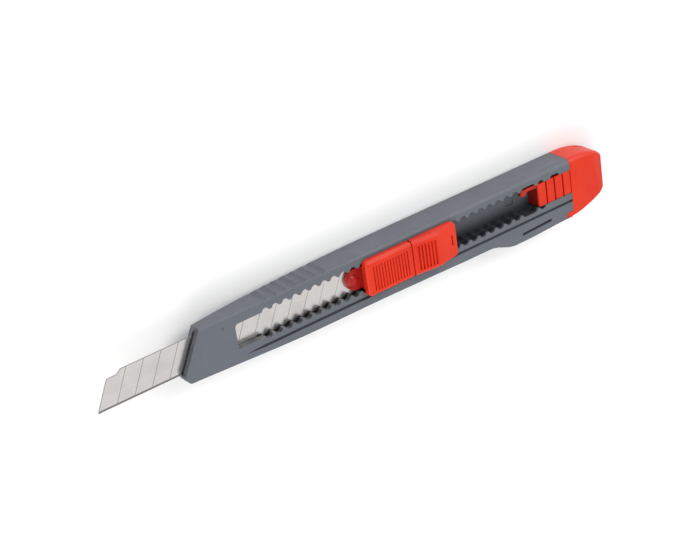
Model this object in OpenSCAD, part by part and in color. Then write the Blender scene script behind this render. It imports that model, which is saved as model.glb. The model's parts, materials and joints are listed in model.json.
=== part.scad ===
// Retractable snap-off knife for 9 mm blades.
// It lies on its back: +X runs from the blade's point to the end cap, +Y to the spine,
// +Z out of the thumb slider. The origin is under the middle of its box, on the rest face.
// Inside the modules, X starts at the blade's point, Y at the cutting edge and Z at the
// blade's front face, and place() moves a finished piece into the frame above.

/* [Blade] */
// Width of the blade strip
blade_w = 9; // [9:0.1:9.1]
// Thickness of the blade strip
blade_t = 0.38; // [0.3:0.01:0.42]
// Length of the blade from its point to its tail
blade_len = 80; // [78:0.5:82]
// Distance between two score lines
snap_pitch = 5; // [4.8:0.1:5.1]
// Number of score lines
score_count = 12; // [8:1:12]
// Width of the ground bevel
bevel_w = 0.8; // [0.5:0.1:1.2]

/* [Handle] */
// Length of the blade that stands out of the nose along the cutting edge
blade_out = 23.8; // [23:0.1:25]
// End of the handle moulding, measured from the blade's point
body_end = 151.2; // [150:0.1:152]
// Depth from the blade's front face up to the front face of the handle
front_z = 2.1; // [1.9:0.1:2.3]
// Depth from the blade's front face down to the rest face of the handle
back_z = 7; // [6.5:0.1:7.5]
// Slope of the nose end across the blade
nose_slope = 0.55; // [0.5:0.01:0.58]
// Start of the window in the front face
window_start = 39.8; // [38:0.1:42]
// Distance from a blade edge to the window's edge
lip = 1.05; // [0.9:0.05:1.2]

/* [Rack] */
// Distance between two notches of the toothed rails
rack_pitch = 3.05; // [3.02:0.01:3.08]
// Number of evenly spaced notches
notch_count = 29; // [20:1:29]
// Radius of a notch
notch_r = 1.15; // [1:0.05:1.2]

/* [Slider] */
// Front end of the thumb pad at rest
pad_start = 79.2; // [78.5:0.1:79.5]
// Length of the thumb pad
pad_len = 14.9; // [14.5:0.1:15]
// Width of the thumb pad and of the lock button
pad_w = 10; // [9.6:0.1:10.2]
// Height of the thumb pad's top over the blade's front face
pad_z = 4.05; // [3.8:0.05:4.3]
// Length of the lock button
button_len = 14.8; // [14.6:0.1:15]
// Number of fine grooves on the thumb pad
fine_count = 13; // [8:1:14]
// Number of coarse grooves on the lock button
coarse_count = 6; // [4:1:6]

/* [Cap] */
// Length of the cap behind the handle moulding
cap_len = 12.2; // [11.5:0.1:12.5]
// Width of the slit that a used blade tip is snapped off in
snap_slit = 0.6; // [0.5:0.05:0.8]

/* [Hidden] */
steel = "gainsboro";
grey = "slategray";
red = "orangered";

blade_mid = blade_w / 2;
spine_y = 11;
total_len = body_end + cap_len;
bulge_y = -7.1;
shift = [-total_len / 2, -(spine_y + bulge_y) / 2, back_z];

// Rack
first_notch = 49.1;
notch_in = 0.3;
win_lo = lip;
win_hi = blade_w - lip;

// Slots and hollows of the handle
side_play = 0.15;
slot_lo = -0.45;
slot_hi = 0.5;
floor_z = -2.4;
store_lo = -5.6;
store_hi = -3.6;
store_start = 60;
hold_end = 46.4;
hold_play = 0.12;
sink_start = 130.9;
sink_len = 3;
sink_lo = 3.1;
sink_hi = 5.4;
sink_depth = 0.25;
far_notches = [4.4, 5.6];
step_x = body_end - 2.2;
step_y = -4.4;
cap_low = -6.5;
cap_gap = 0.1;
front_r = 0.6;
nose_edge_r = 0.25;
spine_r = 1.7;
nose_low = -2.27;
nose_top_r = 2.5;
nose_low_r = 2;
nose_far = 31;
chin_z = -1.7;
chin_run = 4.5;
chin_slope = 0.5;
gate_x = 36.1;
gate_y = 8.5;
gate_r = 0.5;
gate_depth = 0.15;
beyond = 20;
back_r = 1.3;
rib_count = 7;
rib_r = 2;
rib_depth = 0.5;
rib_start = 9.3;
groove_w = 0.8;
groove_y = -1.65;
groove_depth = 0.7;
facet_start = 108;
facet_y = -4;
facet_slope = 0.26;
cord_start = 132.6;
cord_end = 143.3;
cord_depth = 3;
cord_y = -5.05;
cord_rise = 0.45;
cord_w = 0.9;

// Cap
tongue_start = 139.6;
tongue_play = 0.1;
pad_groove = 0.5;
pad_grooves = [142.4, 145.4, 148.4, 151.3];
hook_x = 133.4;
latch_sunk = 0.7;
cap_facet_y = -0.9;
cap_facet_slope = 0.16;
end_bevel = 3.2;
end_drop = 1.17;
snap_depth = 4.5;
snap_y = -4.4;

// Slider
pad_y0 = blade_mid - 0.1 - pad_w / 2;
pad_y1 = pad_y0 + pad_w;
pad_base = front_z + 0.1;
button_start = pad_start + pad_len + 0.3;
button_end = button_start + button_len;
run_gap = 0.2;
nose_x = 77.6;
pin_x = 76.3;
pin_r = 1.2;
pin_play = 0.08;
deck_lo = 0.1;
deck_end = button_end - 0.6;
neck_half = 1.9;
arm_start = 88;
arm_end = 103;
arm_root = 0.6;
arm_play = 0.2;
wedge_start = 104;
wedge_len = 2.4;
unlock = 1.5;
peg_r = 0.9;
peg_x = [82, 86];

// Blade
edge_slope = 0.51;
first_score = 5.1;

// Value that goes smoothly from 0 at a to 1 at b
function ease(x, a, b) =
    let (t = min(1, max(0, (x - a) / (b - a)))) t * t * (3 - 2 * t);

// Polygon whose corner i is rounded with radius corners[i][2]; each arc has n steps
function rounded(corners, n = 8) =
    let (m = len(corners))
    [for (i = [0:m - 1])
        let (p = [corners[i][0], corners[i][1]],
             a = [corners[(i + m - 1) % m][0], corners[(i + m - 1) % m][1]] - p,
             b = [corners[(i + 1) % m][0], corners[(i + 1) % m][1]] - p,
             r = corners[i][2],
             ua = a / norm(a),
             ub = b / norm(b),
             half = acos(ua * ub) / 2,
             reach = r / tan(half),
             mid = (ua + ub) / norm(ua + ub),
             centre = p + mid * r / sin(half),
             s = p + ua * reach - centre,
             e = p + ub * reach - centre)
        for (k = [0:n])
            r == 0 ? (k == 0 ? p : undef) :
            let (q = s * (1 - k / n) + e * k / n) centre + q * r / norm(q)];

// The same without the empty points of sharp corners
function outline(corners, n = 8) = [for (p = rounded(corners, n)) if (p != undef) p];

// Moves a piece from the blade's axes to the frame of the part
module place() {
    translate(shift) children();
}

// Box from its low corner to its high corner
module box(lo, hi) {
    translate(lo) cube(hi - lo);
}

// Prism along Z from z0 to z1 over a polygon
module slab(points, z0, z1) {
    translate([0, 0, z0]) linear_extrude(z1 - z0) polygon(points);
}

// Prism along Y from y0 to y1 over a polygon of X and Z
module across(points, y0, y1) {
    translate([0, y1, 0]) rotate([90, 0, 0]) linear_extrude(y1 - y0) polygon(points);
}

// Prism along X from x0 to x1 over a polygon of Y and Z
module along(points, x0, x1) {
    translate([x0, 0, 0]) rotate([90, 0, 90]) linear_extrude(x1 - x0) polygon(points);
}

// Lower edge, spine edge and back of the outer shape at X. The lower edge widens along the nose
// and the rails, swells into the wide part and then runs back to the cap's low corner.
function low_y(x) = x < step_x
    ? -2.2 - 1.8 * ease(x, 18, 66) - 0.6 * ease(x, 80, 122) - 2.5 * ease(x, 121.5, 130.5)
      + (cap_low - bulge_y) * ease(x, 134, step_x)
    : cap_low + 4.4 * pow(max(0, x - body_end - cap_gap) / cap_len, 1.6);
function high_y(x) = x < body_end
    ? spine_y : spine_y - 2.5 * pow((x - body_end) / cap_len, 3);
function deep_z(x) = x < body_end
    ? -back_z + 5.4 * pow(max(0, 1 - (x - 24) / 80), 2.6)
    : -back_z + 1.2 * pow((x - body_end) / cap_len, 3);

// Closed ring of the outer shape in the plane at X, with its four edges rounded
function ring(x, shrink = 0) =
    let (y0 = low_y(x) + shrink,
         y1 = high_y(x) - shrink,
         z0 = deep_z(x) + shrink,
         z1 = front_z - shrink,
         rs = front_r + (spine_r - front_r) * ease(x, 30, 110),
         rl = nose_edge_r + (front_r - nose_edge_r) * ease(x, 30, 70),
         rb = min(back_r, 0.3 * (z1 - z0)))
    [for (p = outline([[y1, z1, rs], [y0, z1, rl], [y0, z0, rb], [y1, z0, rb]], 5))
        [x, p[0], p[1]]];

// Solid that joins rings one after the other and closes both ends
module loft(rings) {
    n = len(rings[0]);
    m = len(rings);
    points = [for (r = rings) for (p = r) p];
    sides = [for (i = [0:m - 2]) for (j = [0:n - 1])
        let (a = i * n + j, b = i * n + (j + 1) % n)
        for (t = [[a, b + n, b], [a, a + n, b + n]]) t];
    first = [for (j = [0:n - 1]) j];
    last = [for (j = [n - 1:-1:0]) (m - 1) * n + j];
    polyhedron(points, concat(sides, [first, last]));
}

// Plan outline of the nose: a slanted end with two rounded corners
module nose_plan() {
    slab(outline([[blade_out + nose_slope * nose_low, nose_low, nose_low_r],
                  [nose_far, low_y(nose_far), 0], [nose_far, spine_y + 1, 0],
                  [blade_out + nose_slope * spine_y, spine_y, nose_top_r]]), -beyond, beyond);
}

// Waste around the nose outline, and below a slope that rises to its slanted end
module nose_cut() {
    difference() {
        box([10, -beyond, -beyond], [nose_far - 1, beyond, beyond]);
        nose_plan();
    }
    translate([blade_out, 0, 0]) rotate([0, 0, -atan(nose_slope)])
        across([[-10, chin_z], [0, chin_z], [chin_run, chin_z - chin_slope * chin_run],
                [chin_run, -beyond], [-10, -beyond]], -10, beyond);
}

// Round notch that goes down to the channel's floor
module notch(x, y) {
    translate([x, y, floor_z]) cylinder(5 - floor_z, r = notch_r, $fn = 32);
}

// Notches of both rails: even ones, then a long one for the cap's latch and a last one
module rack() {
    y_lo = win_lo + notch_in;
    y_hi = win_hi - notch_in;
    wide = first_notch + (notch_count - 1) * rack_pitch;
    last = wide + 2 * rack_pitch;
    for (i = [0:notch_count - 1], y = [y_lo, y_hi])
        notch(first_notch + i * rack_pitch, y);
    for (x = [wide + rack_pitch, last], y = [y_lo, y_hi])
        notch(x, y);
    box([wide, y_lo - notch_r, floor_z], [wide + rack_pitch, y_hi + notch_r, 5]);
    for (x = far_notches)
        notch(last + x, y_hi);
}

// Slot for the blade, window over it and channel under it for the carrier; the slot is low
// between the window's start and the carrier's foremost place, where it holds the blade down
module channel() {
    box([15, -side_play, slot_lo], [body_end + 1, blade_w + side_play, hold_play]);
    box([hold_end, -side_play, slot_lo], [body_end + 1, blade_w + side_play, slot_hi]);
    box([15, -side_play, slot_lo], [window_start - 4, blade_w + 1, slot_hi]);
    box([window_start, win_lo, floor_z], [body_end + 1, win_hi, 0]);
    slab(outline([[window_start, win_lo, 0.5], [total_len + 1, win_lo, 0],
                  [total_len + 1, win_hi, 0],
                  [window_start, win_hi, 1]]), 0, 5);
    rack();
}

// Shallow scallops along the spine edge
module grip_ribs() {
    for (i = [0:rib_count - 1])
        translate([window_start + rib_start + i * rack_pitch, spine_y + rib_r - rib_depth, -12])
            cylinder(20, r = rib_r, $fn = 48);
}

// Thin cord slit in the wide part of the lower edge
module cord_slit() {
    slab(outline([[cord_start, cord_y, 0.3], [cord_end, cord_y + cord_rise, 0.3],
                  [cord_end, cord_y + cord_rise + cord_w, 0.3],
                  [cord_start, cord_y + cord_w, 0.3]], 4), front_z - cord_depth, 5);
}

// Long groove under the lower rail, with a pointed start
module rail_groove() {
    start = window_start + 1.7;
    slab([[start, groove_y + groove_w / 2], [start + 6, groove_y], [body_end + 1, groove_y],
          [body_end + 1, groove_y + groove_w], [start + 6, groove_y + groove_w]],
         front_z - groove_depth, 5);
}

// Everything in front of a face that slopes back from the line at Y towards the lower edge
module lower_facet(y, slope, x0, x1) {
    along([[y, front_z], [y - 10, front_z - 10 * slope], [y - 10, 5], [y, 5]], x0, x1);
}

module handle_body() {
    stations = concat([for (x = [20:4:116]) x], [for (x = [118:2:148]) x], [body_end]);
    color(grey) place() difference() {
        loft([for (x = stations) ring(x)]);
        nose_cut();
        channel();
        box([store_start, 0, store_lo], [body_end + 1, blade_w, store_hi]);
        box([sink_start, sink_lo, floor_z - sink_depth], [sink_start + sink_len, sink_hi, 0]);
        translate([gate_x, gate_y, front_z - gate_depth]) cylinder(1, r = gate_r, $fn = 32);
        rail_groove();
        lower_facet(facet_y, facet_slope, facet_start, body_end + 1);
        box([step_x, -12, -beyond], [body_end + 1, step_y, beyond]);
        grip_ribs();
        cord_slit();
    }
}

// Rings of the cap, drawn in towards its end, and its lug beside the handle's last step
module cap_shell() {
    last = 1.2;
    first = body_end + cap_gap;
    start = total_len - last;
    lug = step_y - cap_gap;
    loft(concat([for (x = [first:1.35:start - 1]) ring(x)],
                [for (k = [0:6]) let (t = k / 6)
                    ring(start + last * t, 0.7 * (1 - sqrt(1 - 0.85 * t * t)))]));
    along(outline([[lug, front_z, 0], [cap_low, front_z, front_r], [cap_low, -back_z, back_r],
                   [lug, -back_z, 0]], 5), step_x + cap_gap, first);
}

// Tongue that fills the end of the window, with four pads on its front face
module cap_tongue() {
    root = body_end + 1;
    low = floor_z + tongue_play;
    top = front_z - tongue_play;
    difference() {
        across([[tongue_start - 0.4, low], [root, low], [root, top], [tongue_start + 0.3, top],
                [tongue_start, top - 0.4]], win_lo + tongue_play, win_hi - tongue_play);
        for (x = pad_grooves)
            box([x - pad_groove / 2, -1, front_z - 0.9], [x + pad_groove / 2, 10, 5]);
    }
    box([tongue_start + 3, 0, slot_lo + 0.05], [root, blade_w, slot_hi - 0.1]);
    box([body_end - 8, 0.1, store_lo + 0.1], [root, blade_w - 0.1, store_hi - 0.1]);
}

// Springy latch arm beside the tongue, with a rounded hook at its tip
module cap_latch() {
    y1 = win_hi - tongue_play;
    root = tongue_start + 1;
    slab(outline([[root, y1, 0], [hook_x + 0.8, y1, 0.7], [hook_x, y1 - 1.7, 0.7],
                  [hook_x + 2, y1 - 2, 0.6], [hook_x + 2.6, y1 - 0.9, 0.5], [root, y1 - 1.1, 0]], 5),
         0.3, front_z - latch_sunk);
}

module end_cap() {
    color(red) place() {
        difference() {
            cap_shell();
            lower_facet(cap_facet_y, cap_facet_slope, body_end + cap_gap, total_len + 1);
            lower_facet(facet_y, facet_slope, step_x, body_end + cap_gap);
            across([[total_len - end_bevel, front_z], [total_len + 1, front_z - end_drop],
                    [total_len + 1, 5], [total_len - end_bevel, 5]], -beyond, beyond);
            box([total_len - snap_depth, -beyond, snap_y - snap_slit / 2],
                [total_len + 1, beyond, snap_y + snap_slit / 2]);
        }
        cap_tongue();
        cap_latch();
    }
}

module blade() {
    depth = 0.06;
    half = 0.08;
    color(steel) place() difference() {
        intersection() {
            along([[0, -blade_t / 2 - 0.01], [bevel_w, -blade_t], [blade_w, -blade_t],
                   [blade_w, 0], [bevel_w, 0], [0, -blade_t / 2 + 0.01]], -1, blade_len);
            slab(outline([[0, 0, 0], [blade_len, 0, 1], [blade_len, blade_w, 1],
                          [8.2, blade_w, 0.4], [6.9, 7.95, 0.4],
                          [edge_slope * 7.95, 7.95, 0.8]]), -1, 1);
        }
        for (i = [0:score_count - 1])
            translate([first_score + i * snap_pitch, 0, 0])
                slab([[-half - edge_slope, -1], [half - edge_slope, -1],
                      [half + edge_slope * 10, 10], [-half + edge_slope * 10, 10]], -depth, 1);
        translate([pin_x, blade_mid, -1]) cylinder(2, r = pin_r + pin_play, $fn = 48);
    }
}

// Rounded plate that lies on the blade, with the pin that holds the blade by its hole
module carrier_nose() {
    half = win_hi - blade_mid - run_gap;
    translate([nose_x, blade_mid, deck_lo]) cylinder(0.9, r = half - 0.2, $fn = 64);
    box([nose_x, blade_mid - half + 0.2, deck_lo], [pad_start + 1, blade_mid + half - 0.2, 1]);
    translate([pin_x, blade_mid, 0]) {
        cylinder(1.2, r = 1.7, $fn = 48);
        translate([0, 0, 1.2]) cylinder(0.5, 1.7, 1.1, $fn = 48);
        translate([0, 0, -1.1]) cylinder(1.2, r = pin_r, $fn = 48);
    }
}

module blade_carrier() {
    half = win_hi - blade_mid - run_gap;
    color(red) place() difference() {
        union() {
            carrier_nose();
            box([pad_start, blade_mid - half, deck_lo], [deck_end, blade_mid + half, front_z]);
            box([blade_len + 0.3, 0.05, slot_lo + 0.07], [deck_end, blade_w - 0.05, slot_hi - 0.1]);
            box([blade_len + 0.3, blade_mid - half, floor_z + 0.15], [deck_end, blade_mid + half, 0]);
        }
        for (side = [-1, 1])
            box([arm_start, blade_mid + side * (half + 0.5 + neck_half) / 2
                 - (half + 0.5 - neck_half) / 2, 0.5],
                [arm_end, blade_mid + side * (half + 0.5 + neck_half) / 2
                 + (half + 0.5 - neck_half) / 2, 5]);
        box([arm_end - 1, -1, 0.5], [arm_end, 10, 5]);
        box([wedge_start - 0.1, blade_mid - 1.6, 0.2],
            [wedge_start + wedge_len + unlock + 0.2, blade_mid + 1.6, 5]);
        for (x = peg_x)
            translate([x, blade_mid, 0.6]) cylinder(5, r = peg_r, $fn = 32);
    }
}

// Leaf spring bent into a U, with a round bump on each arm that drops into a notch
module click_spring() {
    t = 0.3;
    bump_r = 0.9;
    bump_x = first_notch + 15 * rack_pitch;
    y_arm = win_lo + run_gap + 0.15;
    z0 = 0.65;
    h = 1.25;
    color(steel) place() {
        for (side = [-1, 1])
            translate([0, blade_mid, 0]) mirror([0, side < 0 ? 1 : 0, 0])
                translate([0, -blade_mid, z0]) difference() {
                    union() {
                        box([arm_start + arm_root, y_arm, 0], [arm_end - arm_play, y_arm + t, h]);
                        translate([bump_x, y_arm + t, 0]) cylinder(h, r = bump_r + t / 2, $fn = 48);
                    }
                    translate([bump_x, y_arm + t, -1])
                        cylinder(4, r = bump_r - t / 2, $fn = 48);
                    box([arm_start, y_arm + t, -1], [arm_end - arm_play - t, blade_mid + 1, 5]);
                }
        box([arm_end - arm_play - t, y_arm, z0], [arm_end - arm_play, blade_w - y_arm, z0 + h]);
    }
}

// Waste along the long edge at Y, so that a chamfer w wide and h deep follows a top of X and Z;
// side is 1 on the spine side and -1 on the other
module edge_waste(top, y, side, w, h) {
    loft([for (p = top)
        side > 0
            ? [[p[0], y + 1, p[1] + 1], [p[0], y - w, p[1] + 1], [p[0], y - w, p[1]],
               [p[0], y, p[1] - h], [p[0], y + 1, p[1] - h]]
            : [[p[0], y + w, p[1] + 1], [p[0], y - 1, p[1] + 1], [p[0], y - 1, p[1] - h],
               [p[0], y, p[1] - h], [p[0], y + w, p[1]]]]);
}

// Long block under a top of X and Z, with chamfered long edges; its corners are rounded
// with radius r0 at its front end and r1 at its rear end
module slider_block(top, r0, r1) {
    n = len(top) - 1;
    x0 = top[0][0];
    x1 = top[n][0];
    past = concat([[x0 - 1, top[0][1]]], top, [[x1 + 1, top[n][1]]]);
    difference() {
        intersection() {
            across(concat(top, [[x1, pad_base], [x0, pad_base]]), pad_y0 - 1, pad_y1 + 1);
            slab(outline([[x0, pad_y0, r0], [x1, pad_y0, r1], [x1, pad_y1, r1],
                          [x0, pad_y1, r0]]), 0, 10);
        }
        edge_waste(past, pad_y1, 1, 0.9, 0.5);
        edge_waste(past, pad_y0, -1, 0.4, 0.4);
    }
}

module thumb_pad() {
    x1 = pad_start + pad_len;
    pitch = 0.92;
    color(red) place() {
        difference() {
            slider_block([[pad_start, pad_z - 0.4], [pad_start + 0.9, pad_z], [x1, pad_z]], 1, 0.4);
            for (i = [0:fine_count - 1])
                box([pad_start + 2.1 + i * pitch, pad_y0 + 1.1, pad_z - 0.4],
                    [pad_start + 2.5 + i * pitch, pad_y1 - 1.9, 9]);
        }
        box([pad_start + 1, blade_mid - neck_half, front_z], [x1, blade_mid + neck_half, pad_base]);
        for (x = peg_x)
            translate([x, blade_mid, 0.9]) cylinder(1.5, r = peg_r - 0.04, $fn = 32);
    }
}

module lock_button() {
    x0 = button_start;
    crest_x = x0 + 7.6;
    crest = pad_z + 0.95;
    pitch = 1;
    color(red) place() {
        difference() {
            slider_block([[x0, pad_z + 0.05], [crest_x - 0.6, crest], [crest_x + 0.6, crest],
                          [crest_x + 2.6, crest - 0.55], [button_end, crest - 1.5]], 0.4, 1.3);
            for (i = [0:coarse_count - 1])
                box([x0 + 1.5 + i * pitch, pad_y0 + 1.1, pad_z - 0.15 + i * 0.12],
                    [x0 + 2 + i * pitch, pad_y1 - 1.8, 9]);
            box([x0 + 12.9, blade_mid - 1.6, 3], [x0 + 13.4, blade_mid + 1.4, 9]);
        }
        box([wedge_start, blade_mid - 1.5, 0.3],
            [wedge_start + wedge_len, blade_mid + 1.5, pad_base + 0.1]);
    }
}

handle_body();
end_cap();
blade();
blade_carrier();
click_spring();
thumb_pad();
lock_button();
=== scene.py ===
"""Looks of a snap-off knife: rounded pieces, moulded and ground finishes, soft light and a camera."""
import json
import math

import bmesh
import bpy
from mathutils import Matrix, Vector


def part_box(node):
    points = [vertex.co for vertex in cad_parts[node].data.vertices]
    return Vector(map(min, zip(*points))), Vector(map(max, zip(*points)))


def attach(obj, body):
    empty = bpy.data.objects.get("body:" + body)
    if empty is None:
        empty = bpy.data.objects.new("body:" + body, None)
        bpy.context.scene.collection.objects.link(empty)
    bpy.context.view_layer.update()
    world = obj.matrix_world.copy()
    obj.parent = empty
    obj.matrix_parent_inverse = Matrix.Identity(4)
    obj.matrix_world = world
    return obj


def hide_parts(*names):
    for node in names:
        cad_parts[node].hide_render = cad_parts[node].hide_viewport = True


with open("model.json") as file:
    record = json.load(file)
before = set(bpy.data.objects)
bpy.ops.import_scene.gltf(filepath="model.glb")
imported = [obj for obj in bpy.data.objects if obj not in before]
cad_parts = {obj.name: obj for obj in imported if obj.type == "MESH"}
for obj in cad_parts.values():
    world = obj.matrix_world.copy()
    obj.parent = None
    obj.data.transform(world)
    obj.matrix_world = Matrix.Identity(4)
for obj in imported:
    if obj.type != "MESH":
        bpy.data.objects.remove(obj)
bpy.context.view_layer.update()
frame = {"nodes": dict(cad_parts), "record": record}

MM = 0.001
# Further out than either end of the knife, in metres
FAR = 1.0

RED_NODES = ("end_cap", "thumb_pad", "lock_button")
BODY_OF = {node: body for body, nodes in frame["record"]["behaviour"]["bodies"].items()
           for node in nodes}

# Most that each node's sharp edges are rounded by, in millimetres; the blade is left sharp
ROUND_OVER = {"handle_body": 0.14, "end_cap": 0.2, "blade_carrier": 0.1,
              "thumb_pad": 0.18, "lock_button": 0.18, "blade": 0.0, "click_spring": 0.04}
ROUND_SEGMENTS = 3
# Angles from which an edge counts as sharp, and below which two faces count as one plane
CREASE = math.radians(28)
BLADE_CREASE = math.radians(7)
SAME_PLANE = math.radians(0.4)
# Distance below which two corners are one, in metres
SAME_CORNER = 0.002 * MM

# Blade markings in millimetres from its tip: score lines, and the strip along the edge that a painted
# dark reflection darkens
FIRST_SCORE = 5.1
SCORE_PITCH = 5.0
SCORE_SLOPE = 0.51
EDGE_STRIP = 0.6
# Front end and lower wall of the handle's window, in millimetres from the blade's tip
WINDOW_START = 39.6
LOWER_RAIL = 1.3
# Depths under the front face where painted shade turns the red darker, in millimetres; a minus is above
# it
RED_SHADE_FROM = 0.25
CARRIER_SHADE_FROM = -0.6

# Colours, as linear shares of red, green and blue
GREY_LOW, GREY_HIGH = (0.088, 0.098, 0.116), (0.102, 0.112, 0.131)
GREY_SPECK = (0.125, 0.137, 0.158)
# Painted shade: near-black tone for the handle's lower notches and the nose's mouth
PAINTED_SHADE_TONE = (0.012, 0.012, 0.015)
RED_LOW, RED_HIGH = (0.58, 0.018, 0.001), (0.65, 0.026, 0.003)
# Painted shade: tones that the red turns to under the front face, the carrier's one darker
RED_SHADE_TONE = (0.12, 0.003, 0.002)
CARRIER_SHADE_TONE = (0.3, 0.002, 0.001)
BLADE_TINT = (0.9, 0.875, 0.86)
SPRING_TINT = (0.72, 0.72, 0.74)
STEEL_STAIN = (0.5, 0.47, 0.43)
SCORE_TONE = (0.3, 0.28, 0.26)
# Painted shade for the blade's narrow sides
SIDE_SHADE_TONE = (0.1, 0.095, 0.09)
FLOOR_TONE = (0.9, 0.9, 0.9)
WHITE = (1, 1, 1)

# Cycles per metre of the grinding lines and scuffs, along X, Y and Z
BLADE_GRIND = (260, 5200, 900)
SPRING_GRIND = (900, 900, 5200)
SCUFF_LINES = (300, 2400, 900)
# Roughness of bare steel at either end of the grinding noise
STEEL_ROUGHNESS = (0.2, 0.28)
# Middle stretch of a noise's values, over which one colour turns into the other
NOISE_MIDDLE = (0.35, 0.65)

# Camera and lights: places and sizes in metres, power in watts
CAMERA_PLACE = (-0.24707, 0.23046, 0.38624)
CAMERA_AIM = (-0.00657, 0.00375, 0.0091)
CAMERA_ROLL = math.radians(116.433)
FOCAL_LENGTH_MM = 100.83
SENSOR_WIDTH_MM = 36
NEAREST_SEEN = 0.01
LIGHT_AIM = (0, 0, 0.01)
# Name, place, size and power of each light
LIGHTS = (("edge_side", (-0.45, -0.6, 0.62), 0.8, 4.4),
          ("spine_side", (0.42, 0.62, 0.6), 0.6, 4.8),
          ("nose_side", (-0.75, 0.22, 0.62), 0.3, 1.5))
SURROUND_STRENGTH = 0.72
FLOOR_HALF_WIDTH = 3.0


# Node-tree helpers

def new_material(name):
    """An empty material, its node tree, its Principled shader and its Object coordinates."""
    material = bpy.data.materials.new(name)
    material.use_nodes = True
    tree = material.node_tree
    shader = tree.nodes["Principled BSDF"]
    coords = tree.nodes.new("ShaderNodeTexCoord").outputs["Object"]
    return material, tree, shader, coords


def stretched(tree, coords, scale):
    """Coordinates multiplied by a scale for each axis, in cycles per metre."""
    mapping = tree.nodes.new("ShaderNodeMapping")
    mapping.inputs["Scale"].default_value = scale
    tree.links.new(coords, mapping.inputs["Vector"])
    return mapping.outputs["Vector"]


def along_axis(tree, vector, axis):
    """The X, Y or Z part of a vector."""
    split = tree.nodes.new("ShaderNodeSeparateXYZ")
    tree.links.new(vector, split.inputs["Vector"])
    return split.outputs[axis]


def facing_part(tree, axis):
    """The X, Y or Z part of the direction that the surface faces, from -1 to 1."""
    return along_axis(tree, tree.nodes["Texture Coordinate"].outputs["Normal"], axis)


def noise(tree, coords, scale, detail, roughness=0.5):
    """Fractal noise from 0 to 1, of a scale in cycles per unit of the coordinates."""
    node = tree.nodes.new("ShaderNodeTexNoise")
    node.inputs["Scale"].default_value = scale
    node.inputs["Detail"].default_value = detail
    node.inputs["Roughness"].default_value = roughness
    tree.links.new(coords, node.inputs["Vector"])
    return node.outputs["Fac"]


def remap(tree, value, before, after):
    """Value carried from the range before to the range after, and held inside it."""
    node = tree.nodes.new("ShaderNodeMapRange")
    for slot, number in zip(("From Min", "From Max", "To Min", "To Max"), (*before, *after)):
        node.inputs[slot].default_value = number
    tree.links.new(value, node.inputs["Value"])
    return node.outputs["Result"]


def mix(tree, factor, first, second):
    """Two colours blended by a factor; either may be a colour or a socket."""
    node = tree.nodes.new("ShaderNodeMix")
    node.data_type = "RGBA"
    tree.links.new(factor, node.inputs["Factor"])
    for socket, colour in ((node.inputs["A"], first), (node.inputs["B"], second)):
        if isinstance(colour, tuple):
            socket.default_value = (*colour, 1)
        else:
            tree.links.new(colour, socket)
    return node.outputs["Result"]


def math_node(tree, operation, first, second=0):
    """Result of one arithmetic step; each input is a number or a socket."""
    node = tree.nodes.new("ShaderNodeMath")
    node.operation = operation
    for socket, value in zip(node.inputs, (first, second)):
        if isinstance(value, (int, float)):
            socket.default_value = value
        else:
            tree.links.new(value, socket)
    return node.outputs["Value"]


def times(tree, first, second):
    """Product of two values; each is a number or a socket."""
    return math_node(tree, "MULTIPLY", first, second)


def band(tree, coords, axis, low, high, soft):
    """1 between low and high along an axis, in metres, falling to 0 over a soft width outside."""
    place = along_axis(tree, coords, axis)
    rise = remap(tree, place, (low - soft, low), (0, 1))
    fall = remap(tree, place, (high, high + soft), (1, 0))
    return times(tree, rise, fall)


def bump(tree, shader, height, strength, distance, under=None):
    """Bump whose full height is distance in metres, laid over another bump where one is given."""
    node = tree.nodes.new("ShaderNodeBump")
    node.inputs["Strength"].default_value = strength
    node.inputs["Distance"].default_value = distance
    tree.links.new(height, node.inputs["Height"])
    if under is not None:
        tree.links.new(under, node.inputs["Normal"])
    tree.links.new(node.outputs["Normal"], shader.inputs["Normal"])
    return node.outputs["Normal"]


# Finishes

def notch_painted_shade(tree, coords, front_face, rail_y, window_x):
    """How much painted shade darkens the window's lower wall and notches: most just below rail_y and
    well under the front face, and nothing ahead of window_x."""
    below_rail = 1.2 * MM
    shallowest, deepest = 0.8 * MM, 8 * MM
    darkest = 0.86
    across = band(tree, coords, "Y", rail_y - below_rail, rail_y, soft=3.2 * MM)
    deep = band(tree, coords, "Z", front_face - deepest, front_face - shallowest, soft=0.7 * MM)
    behind = band(tree, coords, "X", window_x, FAR, soft=0.3 * MM)
    return times(tree, times(tree, times(tree, across, deep), behind), darkest)


def mouth_shade(tree, coords, front_face, window_x):
    """How much painted shade darkens the nose's end face above the blade: only on faces that look
    forward, only from shallowest to deepest under the front face, and only ahead of the window."""
    shallowest, deepest = 0.4 * MM, 2.1 * MM
    window_gap = 5 * MM
    darkest = 0.6
    forward, turned_away = -0.85, -0.75
    end_face = remap(tree, facing_part(tree, "X"), (forward, turned_away), (darkest, 0))
    layer = band(tree, coords, "Z", front_face - deepest, front_face - shallowest, soft=0.2 * MM)
    ahead = band(tree, coords, "X", -FAR, window_x - window_gap, soft=MM)
    return times(tree, times(tree, layer, ahead), end_face)


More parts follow.
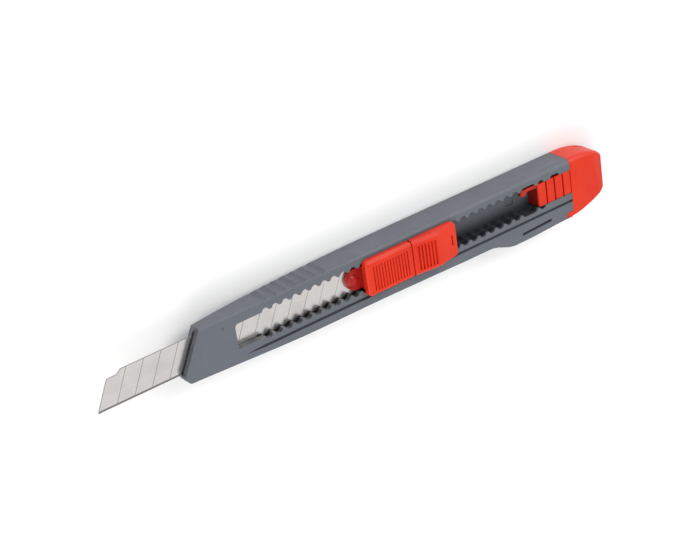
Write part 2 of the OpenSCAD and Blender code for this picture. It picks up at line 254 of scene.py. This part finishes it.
def grey_plastic(front_face, rail_y, window_x):
    """Blue-grey moulding: fine spark-eroded grain, faint flow clouds and a few shiny rubbed spots,
    with painted shade in the window's lower notches and at the nose's mouth."""
    material, tree, shader, coords = new_material("grey_moulding")
    clouds = noise(tree, coords, scale=55, detail=3)
    speckle = noise(tree, coords, scale=2600, detail=2)
    colour = mix(tree, remap(tree, clouds, NOISE_MIDDLE, (0, 1)), GREY_LOW, GREY_HIGH)
    colour = mix(tree, remap(tree, speckle, (0.42, 0.62), (0, 0.3)), colour, GREY_SPECK)
    # Painted shade: the window's lower wall and notches turn towards a near-black tone
    colour = mix(tree, notch_painted_shade(tree, coords, front_face, rail_y, window_x), colour, PAINTED_SHADE_TONE)
    # Painted shade: the nose's end face above the blade turns towards the same near-black tone
    colour = mix(tree, mouth_shade(tree, coords, front_face, window_x), colour, PAINTED_SHADE_TONE)
    tree.links.new(colour, shader.inputs["Base Color"])
    rubbed = noise(tree, coords, scale=180, detail=4)
    tree.links.new(remap(tree, rubbed, (0.35, 0.7), (0.56, 0.44)), shader.inputs["Roughness"])
    shader.inputs["Specular IOR Level"].default_value = 0.45
    ripple = noise(tree, coords, scale=260, detail=2)
    grain = noise(tree, coords, scale=4200, detail=2)
    soft = bump(tree, shader, ripple, strength=0.35, distance=0.06 * MM)
    bump(tree, shader, grain, strength=0.35, distance=0.03 * MM, under=soft)
    return material


def red_plastic(name, front_face, shade_from, shade_tone):
    """Orange-red satin moulding with a slight depth, faint flow clouds and hairline scuffs. From a
    given depth in millimetres under the front face down it turns to a given darker tone as painted
    shade, but only ahead of the handle's rear end."""
    material, tree, shader, coords = new_material(name)
    clouds = noise(tree, coords, scale=90, detail=3)
    colour = mix(tree, remap(tree, clouds, NOISE_MIDDLE, (0, 1)), RED_LOW, RED_HIGH)
    # Painted shade: darker with depth under the front face, only ahead of the handle's rear end
    top = front_face - shade_from * MM
    fade, darkest = 0.9 * MM, 0.9
    deep = remap(tree, along_axis(tree, coords, "Z"), (top - fade, top), (darkest, 0))
    ahead = band(tree, coords, "X", -FAR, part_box("handle_body")[1].x - MM, soft=0.5 * MM)
    colour = mix(tree, times(tree, deep, ahead), colour, shade_tone)
    tree.links.new(colour, shader.inputs["Base Color"])
    shader.inputs["Specular IOR Level"].default_value = 0.35
    scuffs = noise(tree, stretched(tree, coords, SCUFF_LINES), scale=1, detail=4, roughness=0.6)
    tree.links.new(remap(tree, scuffs, (0.4, 0.72), (0.36, 0.48)), shader.inputs["Roughness"])
    shader.inputs["Subsurface Weight"].default_value = 0.15
    shader.inputs["Subsurface Radius"].default_value = (1.0, 0.2, 0.1)
    shader.inputs["Subsurface Scale"].default_value = 0.6 * MM
    ripple = noise(tree, coords, scale=420, detail=2)
    grain = noise(tree, coords, scale=3800, detail=2)
    soft = bump(tree, shader, ripple, strength=0.3, distance=0.05 * MM)
    bump(tree, shader, grain, strength=0.25, distance=0.02 * MM, under=soft)
    return material


def score_lines(tree, coords, tip):
    """1 in the slanted score lines: each runs where X less the slope times Y, counted from the
    blade's tip, is a whole number of pitches past the first line. It is full up to line_half from
    its middle and gone at line_end, in pitches, and there is none ahead of the first."""
    lean = times(tree, along_axis(tree, coords, "Y"), -SCORE_SLOPE)
    along = math_node(tree, "ADD", along_axis(tree, coords, "X"), lean)
    start = tip.x - SCORE_SLOPE * tip.y + FIRST_SCORE * MM
    steps = math_node(tree, "DIVIDE", math_node(tree, "SUBTRACT", along, start), SCORE_PITCH * MM)
    away = math_node(tree, "PINGPONG", steps, 0.5)
    line_half, line_end = 0.013, 0.03
    lines = remap(tree, away, (line_half, line_end), (1, 0))
    return times(tree, lines, math_node(tree, "GREATER_THAN", steps, -0.5))


def darker(tint, share):
    """A colour with each part cut to a share of itself."""
    return tuple(share * part for part in tint)


def blade_marks(tree, coords, tip, tint, colour, gloss):
    """Colour and roughness with the blade's marks on them: score lines, a rougher strip along the
    cutting edge that a painted dark reflection darkens, and narrow sides darkened by painted shade."""
    line_darkness, strip_reflection_tone, strip_roughness, side_shade = 0.5, 0.26, 0.2, 0.8
    scored = score_lines(tree, coords, tip)
    colour = mix(tree, times(tree, scored, line_darkness), colour, SCORE_TONE)
    # Painted reflection: the strip along the cutting edge is darkened as the ground bevel reflects dark;
    # it is also made rougher
    strip = band(tree, coords, "Y", tip.y, tip.y + EDGE_STRIP * MM, soft=0.05 * MM)
    colour = mix(tree, strip, colour, darker(tint, strip_reflection_tone))
    gloss = math_node(tree, "ADD", gloss, times(tree, strip, strip_roughness))
    # Painted shade: faces turned away from Z, the blade's narrow sides, are darkened
    flatness = math_node(tree, "ABSOLUTE", facing_part(tree, "Z"))
    edgewise, nearly_flat = 0.4, 0.7
    sides = remap(tree, flatness, (edgewise, nearly_flat), (side_shade, 0))
    return mix(tree, sides, colour, SIDE_SHADE_TONE), gloss


def ground_steel(name, tint, grind, tip=None):
    """Satin steel with faint stains and grinding lines, which grind scales along each axis. A tip
    makes it the blade's steel, with the blade's marks."""
    material, tree, shader, coords = new_material(name)
    clouds = noise(tree, coords, scale=120, detail=3)
    lines = noise(tree, stretched(tree, coords, grind), scale=1, detail=5, roughness=0.65)
    colour = mix(tree, remap(tree, lines, NOISE_MIDDLE, (0, 1)), darker(tint, 0.94), tint)
    colour = mix(tree, remap(tree, clouds, (0.5, 0.75), (0, 0.25)), colour, STEEL_STAIN)
    gloss = remap(tree, lines, (0.3, 0.7), STEEL_ROUGHNESS)
    if tip is not None:
        colour, gloss = blade_marks(tree, coords, tip, tint, colour, gloss)
    tree.links.new(colour, shader.inputs["Base Color"])
    tree.links.new(gloss, shader.inputs["Roughness"])
    shader.inputs["Metallic"].default_value = 1.0
    bump(tree, shader, lines, strength=0.3, distance=0.02 * MM)
    return material


# Pieces

def finished(node, material):
    """Copy of a CAD node: its doubles are merged, triangles of one plane are joined, its sharp edges
    are rounded by a bevel of at most the node's ROUND_OVER, and its curved faces are smoothed."""
    mesh = frame["nodes"][node].data.copy()
    mesh.name = node + "_finish"
    work = bmesh.new()
    work.from_mesh(mesh)
    bmesh.ops.remove_doubles(work, verts=work.verts, dist=SAME_CORNER)
    bmesh.ops.dissolve_limit(work, angle_limit=SAME_PLANE, verts=work.verts, edges=work.edges)
    work.to_mesh(mesh)
    work.free()
    mesh.materials.clear()
    mesh.materials.append(material)
    piece = bpy.data.objects.new(node + "_finish", mesh)
    bpy.context.scene.collection.objects.link(piece)
    mesh.shade_smooth()
    if ROUND_OVER[node] > 0:
        edge = piece.modifiers.new("round_over", "BEVEL")
        edge.width = ROUND_OVER[node] * MM
        edge.segments = ROUND_SEGMENTS
        edge.limit_method = "ANGLE"
        edge.angle_limit = CREASE
        edge.use_clamp_overlap = True
    else:
        mesh.set_sharp_from_angle(angle=BLADE_CREASE)
    flat = piece.modifiers.new("flat_faces", "WEIGHTED_NORMAL")
    flat.mode = "FACE_AREA"
    flat.weight = 100
    flat.keep_sharp = True
    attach(piece, BODY_OF[node])
    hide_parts(node)


# Stage

def pale_floor():
    """Flat pale sheet under the knife."""
    half = FLOOR_HALF_WIDTH
    mesh = bpy.data.meshes.new("floor")
    corners = [(-half, -half, 0), (half, -half, 0), (half, half, 0), (-half, half, 0)]
    mesh.from_pydata(corners, [], [(0, 1, 2, 3)])
    floor = bpy.data.objects.new("floor", mesh)
    bpy.context.scene.collection.objects.link(floor)
    material, _, shader, _ = new_material("pale_sheet")
    shader.inputs["Base Color"].default_value = (*FLOOR_TONE, 1)
    shader.inputs["Roughness"].default_value = 0.8
    mesh.materials.append(material)


def turned_to(place, aim):
    """Turn that points an object's -Z from its place to an aim, with its Y upwards."""
    return (Vector(aim) - Vector(place)).to_track_quat("-Z", "Y")


def soft_light(name, place, size, power):
    """Square white area light at a place, turned to LIGHT_AIM in the knife."""
    lamp = bpy.data.lights.new(name, "AREA")
    lamp.size = size
    lamp.energy = power
    lamp.color = WHITE
    holder = bpy.data.objects.new(name, lamp)
    holder.location = place
    holder.rotation_euler = turned_to(place, LIGHT_AIM).to_euler()
    bpy.context.scene.collection.objects.link(holder)


def studio():
    """White surroundings and large soft lights over the knife; colours are shown without a film look."""
    world = bpy.data.worlds.new("studio")
    world.use_nodes = True
    surround = world.node_tree.nodes["Background"]
    surround.inputs["Color"].default_value = (*WHITE, 1)
    surround.inputs["Strength"].default_value = SURROUND_STRENGTH
    bpy.context.scene.world = world
    bpy.context.scene.view_settings.view_transform = "Standard"
    for light in LIGHTS:
        soft_light(*light)


def camera():
    """Camera at the viewing place, aimed at the middle of the handle and rolled about its own axis."""
    lens = bpy.data.cameras.new("camera")
    lens.lens = FOCAL_LENGTH_MM
    lens.sensor_width = SENSOR_WIDTH_MM
    lens.clip_start = NEAREST_SEEN
    holder = bpy.data.objects.new("camera", lens)
    turn = turned_to(CAMERA_PLACE, CAMERA_AIM).to_matrix() @ Matrix.Rotation(CAMERA_ROLL, 3, "Z")
    holder.matrix_world = Matrix.Translation(CAMERA_PLACE) @ turn.to_4x4()
    bpy.context.scene.collection.objects.link(holder)
    bpy.context.scene.camera = holder


# The knife

blade_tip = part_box("blade")[0]
front_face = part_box("handle_body")[1].z
grey = grey_plastic(front_face, blade_tip.y + LOWER_RAIL * MM, blade_tip.x + WINDOW_START * MM)
red = red_plastic("red_moulding", front_face, RED_SHADE_FROM, RED_SHADE_TONE)
# The carrier's red is a second copy with more painted shade, starting above the front face
shaded_carrier_red = red_plastic("red_carrier_shaded_moulding", front_face, CARRIER_SHADE_FROM, CARRIER_SHADE_TONE)
blade_steel = ground_steel("blade_ground_steel", BLADE_TINT, BLADE_GRIND, blade_tip)
spring_steel = ground_steel("spring_bright_steel", SPRING_TINT, SPRING_GRIND)
finished("handle_body", grey)
for red_node in RED_NODES:
    finished(red_node, red)
finished("blade_carrier", shaded_carrier_red)
finished("blade", blade_steel)
finished("click_spring", spring_steel)
pale_floor()
studio()
camera()
